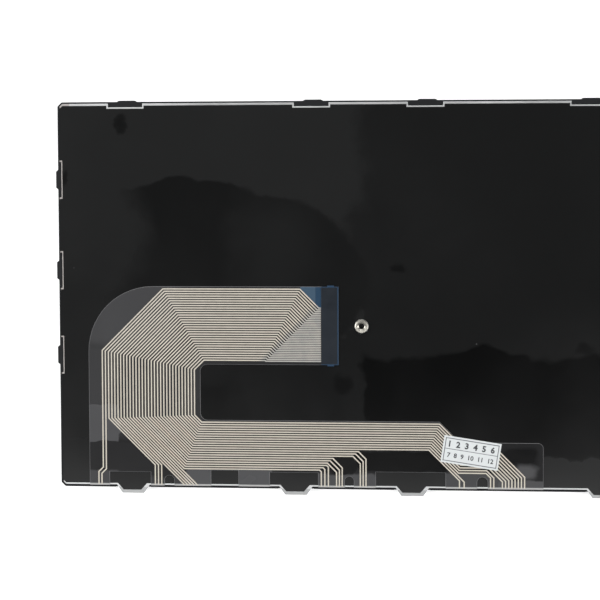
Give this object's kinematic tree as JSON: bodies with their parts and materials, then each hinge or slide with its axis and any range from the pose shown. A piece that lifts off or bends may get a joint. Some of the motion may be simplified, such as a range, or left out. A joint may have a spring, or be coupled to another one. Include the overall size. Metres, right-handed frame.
{
  "type": "laptop replacement keyboard",
  "caption": "Thin laptop keyboard lying face down: black film back with a folded tail of printed silver lines, a threaded boss, edge hooks and tabs, and flat keys that travel on scissor links.",
  "frame": {"origin": "middle of the outline, on the surface that the keycap tops lie on", "axes": "+X along the key rows towards the left-hand end as typed, +Y towards the rear edge with the function keys, +Z out of the back"},
  "size_m": [0.2898, 0.111, 0.0055],
  "materials": {
    "back_film": "glossy black film, slightly wavy",
    "plate_metal": "bare rolled sheet",
    "membrane_film": "translucent grey polyester over black",
    "printed_silver": "matt printed silver ink",
    "stiffener_plastic": "satin slate grey",
    "label_paper": "ruled border and a plain table of numbers",
    "boss_metal": "turned and plated",
    "frame_plastic": "fine moulded texture",
    "dome_rubber": "matt silicone",
    "link_plastic": "smooth white plastic",
    "keycap_plastic": "fine soft texture with printed legends"
  },
  "bodies": {
    "base": {"back_film": "back_film", "base_plate": "plate_metal", "key_frame": "frame_plastic", "membrane_circuit": "membrane_film", "paper_label": "label_paper", "rubber_domes": "dome_rubber", "scissor_inner_links": "link_plastic", "scissor_outer_links": "link_plastic", "screw_boss": "boss_metal", "silver_traces": "printed_silver", "tail_stiffener": "stiffener_plastic", "word_keys": "keycap_plastic"},
    "key_0": {"key_0": "keycap_plastic"},
    "key_1": {"key_1": "keycap_plastic"},
    "key_2": {"key_2": "keycap_plastic"},
    "key_3": {"key_3": "keycap_plastic"},
    "key_4": {"key_4": "keycap_plastic"},
    "key_5": {"key_5": "keycap_plastic"},
    "key_6": {"key_6": "keycap_plastic"},
    "key_7": {"key_7": "keycap_plastic"},
    "key_8": {"key_8": "keycap_plastic"},
    "key_9": {"key_9": "keycap_plastic"},
    "key_a": {"key_a": "keycap_plastic"},
    "key_apostrophe": {"key_apostrophe": "keycap_plastic"},
    "key_b": {"key_b": "keycap_plastic"},
    "key_backquote": {"key_backquote": "keycap_plastic"},
    "key_backslash": {"key_backslash": "keycap_plastic"},
    "key_bracket_left": {"key_bracket_left": "keycap_plastic"},
    "key_bracket_right": {"key_bracket_right": "keycap_plastic"},
    "key_c": {"key_c": "keycap_plastic"},
    "key_comma": {"key_comma": "keycap_plastic"},
    "key_d": {"key_d": "keycap_plastic"},
    "key_e": {"key_e": "keycap_plastic"},
    "key_equals": {"key_equals": "keycap_plastic"},
    "key_f": {"key_f": "keycap_plastic"},
    "key_g": {"key_g": "keycap_plastic"},
    "key_h": {"key_h": "keycap_plastic"},
    "key_i": {"key_i": "keycap_plastic"},
    "key_j": {"key_j": "keycap_plastic"},
    "key_k": {"key_k": "keycap_plastic"},
    "key_l": {"key_l": "keycap_plastic"},
    "key_m": {"key_m": "keycap_plastic"},
    "key_minus": {"key_minus": "keycap_plastic"},
    "key_n": {"key_n": "keycap_plastic"},
    "key_o": {"key_o": "keycap_plastic"},
    "key_p": {"key_p": "keycap_plastic"},
    "key_period": {"key_period": "keycap_plastic"},
    "key_q": {"key_q": "keycap_plastic"},
    "key_r": {"key_r": "keycap_plastic"},
    "key_s": {"key_s": "keycap_plastic"},
    "key_semicolon": {"key_semicolon": "keycap_plastic"},
    "key_slash": {"key_slash": "keycap_plastic"},
    "key_space": {"key_space": "keycap_plastic"},
    "key_t": {"key_t": "keycap_plastic"},
    "key_u": {"key_u": "keycap_plastic"},
    "key_v": {"key_v": "keycap_plastic"},
    "key_w": {"key_w": "keycap_plastic"},
    "key_x": {"key_x": "keycap_plastic"},
    "key_y": {"key_y": "keycap_plastic"},
    "key_z": {"key_z": "keycap_plastic"}
  },
  "joints": [
    {"name": "press_0", "type": "slide", "parent": "base", "child": "key_0", "axis": [0, 0, 1], "range_m": [0, 0.0014], "stiffness_N_per_m": 400, "deforming": ["rubber_domes", "scissor_outer_links", "scissor_inner_links"]},
    {"name": "press_1", "type": "slide", "parent": "base", "child": "key_1", "axis": [0, 0, 1], "range_m": [0, 0.0014], "stiffness_N_per_m": 400, "deforming": ["rubber_domes", "scissor_outer_links", "scissor_inner_links"]},
    {"name": "press_2", "type": "slide", "parent": "base", "child": "key_2", "axis": [0, 0, 1], "range_m": [0, 0.0014], "stiffness_N_per_m": 400, "deforming": ["rubber_domes", "scissor_outer_links", "scissor_inner_links"]},
    {"name": "press_3", "type": "slide", "parent": "base", "child": "key_3", "axis": [0, 0, 1], "range_m": [0, 0.0014], "stiffness_N_per_m": 400, "deforming": ["rubber_domes", "scissor_outer_links", "scissor_inner_links"]},
    {"name": "press_4", "type": "slide", "parent": "base", "child": "key_4", "axis": [0, 0, 1], "range_m": [0, 0.0014], "stiffness_N_per_m": 400, "deforming": ["rubber_domes", "scissor_outer_links", "scissor_inner_links"]},
    {"name": "press_5", "type": "slide", "parent": "base", "child": "key_5", "axis": [0, 0, 1], "range_m": [0, 0.0014], "stiffness_N_per_m": 400, "deforming": ["rubber_domes", "scissor_outer_links", "scissor_inner_links"]},
    {"name": "press_6", "type": "slide", "parent": "base", "child": "key_6", "axis": [0, 0, 1], "range_m": [0, 0.0014], "stiffness_N_per_m": 400, "deforming": ["rubber_domes", "scissor_outer_links", "scissor_inner_links"]},
    {"name": "press_7", "type": "slide", "parent": "base", "child": "key_7", "axis": [0, 0, 1], "range_m": [0, 0.0014], "stiffness_N_per_m": 400, "deforming": ["rubber_domes", "scissor_outer_links", "scissor_inner_links"]},
    {"name": "press_8", "type": "slide", "parent": "base", "child": "key_8", "axis": [0, 0, 1], "range_m": [0, 0.0014], "stiffness_N_per_m": 400, "deforming": ["rubber_domes", "scissor_outer_links", "scissor_inner_links"]},
    {"name": "press_9", "type": "slide", "parent": "base", "child": "key_9", "axis": [0, 0, 1], "range_m": [0, 0.0014], "stiffness_N_per_m": 400, "deforming": ["rubber_domes", "scissor_outer_links", "scissor_inner_links"]},
    {"name": "press_a", "type": "slide", "parent": "base", "child": "key_a", "axis": [0, 0, 1], "range_m": [0, 0.0014], "stiffness_N_per_m": 400, "deforming": ["rubber_domes", "scissor_outer_links", "scissor_inner_links"]},
    {"name": "press_apostrophe", "type": "slide", "parent": "base", "child": "key_apostrophe", "axis": [0, 0, 1], "range_m": [0, 0.0014], "stiffness_N_per_m": 400, "deforming": ["rubber_domes", "scissor_outer_links", "scissor_inner_links"]},
    {"name": "press_b", "type": "slide", "parent": "base", "child": "key_b", "axis": [0, 0, 1], "range_m": [0, 0.0014], "stiffness_N_per_m": 400, "deforming": ["rubber_domes", "scissor_outer_links", "scissor_inner_links"]},
    {"name": "press_backquote", "type": "slide", "parent": "base", "child": "key_backquote", "axis": [0, 0, 1], "range_m": [0, 0.0014], "stiffness_N_per_m": 400, "deforming": ["rubber_domes", "scissor_outer_links", "scissor_inner_links"]},
    {"name": "press_backslash", "type": "slide", "parent": "base", "child": "key_backslash", "axis": [0, 0, 1], "range_m": [0, 0.0014], "stiffness_N_per_m": 400, "deforming": ["rubber_domes", "scissor_outer_links", "scissor_inner_links"]},
    {"name": "press_bracket_left", "type": "slide", "parent": "base", "child": "key_bracket_left", "axis": [0, 0, 1], "range_m": [0, 0.0014], "stiffness_N_per_m": 400, "deforming": ["rubber_domes", "scissor_outer_links", "scissor_inner_links"]},
    {"name": "press_bracket_right", "type": "slide", "parent": "base", "child": "key_bracket_right", "axis": [0, 0, 1], "range_m": [0, 0.0014], "stiffness_N_per_m": 400, "deforming": ["rubber_domes", "scissor_outer_links", "scissor_inner_links"]},
    {"name": "press_c", "type": "slide", "parent": "base", "child": "key_c", "axis": [0, 0, 1], "range_m": [0, 0.0014], "stiffness_N_per_m": 400, "deforming": ["rubber_domes", "scissor_outer_links", "scissor_inner_links"]},
    {"name": "press_comma", "type": "slide", "parent": "base", "child": "key_comma", "axis": [0, 0, 1], "range_m": [0, 0.0014], "stiffness_N_per_m": 400, "deforming": ["rubber_domes", "scissor_outer_links", "scissor_inner_links"]},
    {"name": "press_d", "type": "slide", "parent": "base", "child": "key_d", "axis": [0, 0, 1], "range_m": [0, 0.0014], "stiffness_N_per_m": 400, "deforming": ["rubber_domes", "scissor_outer_links", "scissor_inner_links"]},
    {"name": "press_e", "type": "slide", "parent": "base", "child": "key_e", "axis": [0, 0, 1], "range_m": [0, 0.0014], "stiffness_N_per_m": 400, "deforming": ["rubber_domes", "scissor_outer_links", "scissor_inner_links"]},
    {"name": "press_equals", "type": "slide", "parent": "base", "child": "key_equals", "axis": [0, 0, 1], "range_m": [0, 0.0014], "stiffness_N_per_m": 400, "deforming": ["rubber_domes", "scissor_outer_links", "scissor_inner_links"]},
    {"name": "press_f", "type": "slide", "parent": "base", "child": "key_f", "axis": [0, 0, 1], "range_m": [0, 0.0014], "stiffness_N_per_m": 400, "deforming": ["rubber_domes", "scissor_outer_links", "scissor_inner_links"]},
    {"name": "press_g", "type": "slide", "parent": "base", "child": "key_g", "axis": [0, 0, 1], "range_m": [0, 0.0014], "stiffness_N_per_m": 400, "deforming": ["rubber_domes", "scissor_outer_links", "scissor_inner_links"]},
    {"name": "press_h", "type": "slide", "parent": "base", "child": "key_h", "axis": [0, 0, 1], "range_m": [0, 0.0014], "stiffness_N_per_m": 400, "deforming": ["rubber_domes", "scissor_outer_links", "scissor_inner_links"]},
    {"name": "press_i", "type": "slide", "parent": "base", "child": "key_i", "axis": [0, 0, 1], "range_m": [0, 0.0014], "stiffness_N_per_m": 400, "deforming": ["rubber_domes", "scissor_outer_links", "scissor_inner_links"]},
    {"name": "press_j", "type": "slide", "parent": "base", "child": "key_j", "axis": [0, 0, 1], "range_m": [0, 0.0014], "stiffness_N_per_m": 400, "deforming": ["rubber_domes", "scissor_outer_links", "scissor_inner_links"]},
    {"name": "press_k", "type": "slide", "parent": "base", "child": "key_k", "axis": [0, 0, 1], "range_m": [0, 0.0014], "stiffness_N_per_m": 400, "deforming": ["rubber_domes", "scissor_outer_links", "scissor_inner_links"]},
    {"name": "press_l", "type": "slide", "parent": "base", "child": "key_l", "axis": [0, 0, 1], "range_m": [0, 0.0014], "stiffness_N_per_m": 400, "deforming": ["rubber_domes", "scissor_outer_links", "scissor_inner_links"]},
    {"name": "press_m", "type": "slide", "parent": "base", "child": "key_m", "axis": [0, 0, 1], "range_m": [0, 0.0014], "stiffness_N_per_m": 400, "deforming": ["rubber_domes", "scissor_outer_links", "scissor_inner_links"]},
    {"name": "press_minus", "type": "slide", "parent": "base", "child": "key_minus", "axis": [0, 0, 1], "range_m": [0, 0.0014], "stiffness_N_per_m": 400, "deforming": ["rubber_domes", "scissor_outer_links", "scissor_inner_links"]},
    {"name": "press_n", "type": "slide", "parent": "base", "child": "key_n", "axis": [0, 0, 1], "range_m": [0, 0.0014], "stiffness_N_per_m": 400, "deforming": ["rubber_domes", "scissor_outer_links", "scissor_inner_links"]},
    {"name": "press_o", "type": "slide", "parent": "base", "child": "key_o", "axis": [0, 0, 1], "range_m": [0, 0.0014], "stiffness_N_per_m": 400, "deforming": ["rubber_domes", "scissor_outer_links", "scissor_inner_links"]},
    {"name": "press_p", "type": "slide", "parent": "base", "child": "key_p", "axis": [0, 0, 1], "range_m": [0, 0.0014], "stiffness_N_per_m": 400, "deforming": ["rubber_domes", "scissor_outer_links", "scissor_inner_links"]},
    {"name": "press_period", "type": "slide", "parent": "base", "child": "key_period", "axis": [0, 0, 1], "range_m": [0, 0.0014], "stiffness_N_per_m": 400, "deforming": ["rubber_domes", "scissor_outer_links", "scissor_inner_links"]},
    {"name": "press_q", "type": "slide", "parent": "base", "child": "key_q", "axis": [0, 0, 1], "range_m": [0, 0.0014], "stiffness_N_per_m": 400, "deforming": ["rubber_domes", "scissor_outer_links", "scissor_inner_links"]},
    {"name": "press_r", "type": "slide", "parent": "base", "child": "key_r", "axis": [0, 0, 1], "range_m": [0, 0.0014], "stiffness_N_per_m": 400, "deforming": ["rubber_domes", "scissor_outer_links", "scissor_inner_links"]},
    {"name": "press_s", "type": "slide", "parent": "base", "child": "key_s", "axis": [0, 0, 1], "range_m": [0, 0.0014], "stiffness_N_per_m": 400, "deforming": ["rubber_domes", "scissor_outer_links", "scissor_inner_links"]},
    {"name": "press_semicolon", "type": "slide", "parent": "base", "child": "key_semicolon", "axis": [0, 0, 1], "range_m": [0, 0.0014], "stiffness_N_per_m": 400, "deforming": ["rubber_domes", "scissor_outer_links", "scissor_inner_links"]},
    {"name": "press_slash", "type": "slide", "parent": "base", "child": "key_slash", "axis": [0, 0, 1], "range_m": [0, 0.0014], "stiffness_N_per_m": 400, "deforming": ["rubber_domes", "scissor_outer_links", "scissor_inner_links"]},
    {"name": "press_space", "type": "slide", "parent": "base", "child": "key_space", "axis": [0, 0, 1], "range_m": [0, 0.0014], "stiffness_N_per_m": 400, "deforming": ["rubber_domes", "scissor_outer_links", "scissor_inner_links"]},
    {"name": "press_t", "type": "slide", "parent": "base", "child": "key_t", "axis": [0, 0, 1], "range_m": [0, 0.0014], "stiffness_N_per_m": 400, "deforming": ["rubber_domes", "scissor_outer_links", "scissor_inner_links"]},
    {"name": "press_u", "type": "slide", "parent": "base", "child": "key_u", "axis": [0, 0, 1], "range_m": [0, 0.0014], "stiffness_N_per_m": 400, "deforming": ["rubber_domes", "scissor_outer_links", "scissor_inner_links"]},
    {"name": "press_v", "type": "slide", "parent": "base", "child": "key_v", "axis": [0, 0, 1], "range_m": [0, 0.0014], "stiffness_N_per_m": 400, "deforming": ["rubber_domes", "scissor_outer_links", "scissor_inner_links"]},
    {"name": "press_w", "type": "slide", "parent": "base", "child": "key_w", "axis": [0, 0, 1], "range_m": [0, 0.0014], "stiffness_N_per_m": 400, "deforming": ["rubber_domes", "scissor_outer_links", "scissor_inner_links"]},
    {"name": "press_x", "type": "slide", "parent": "base", "child": "key_x", "axis": [0, 0, 1], "range_m": [0, 0.0014], "stiffness_N_per_m": 400, "deforming": ["rubber_domes", "scissor_outer_links", "scissor_inner_links"]},
    {"name": "press_y", "type": "slide", "parent": "base", "child": "key_y", "axis": [0, 0, 1], "range_m": [0, 0.0014], "stiffness_N_per_m": 400, "deforming": ["rubber_domes", "scissor_outer_links", "scissor_inner_links"]},
    {"name": "press_z", "type": "slide", "parent": "base", "child": "key_z", "axis": [0, 0, 1], "range_m": [0, 0.0014], "stiffness_N_per_m": 400, "deforming": ["rubber_domes", "scissor_outer_links", "scissor_inner_links"]}
  ]
}
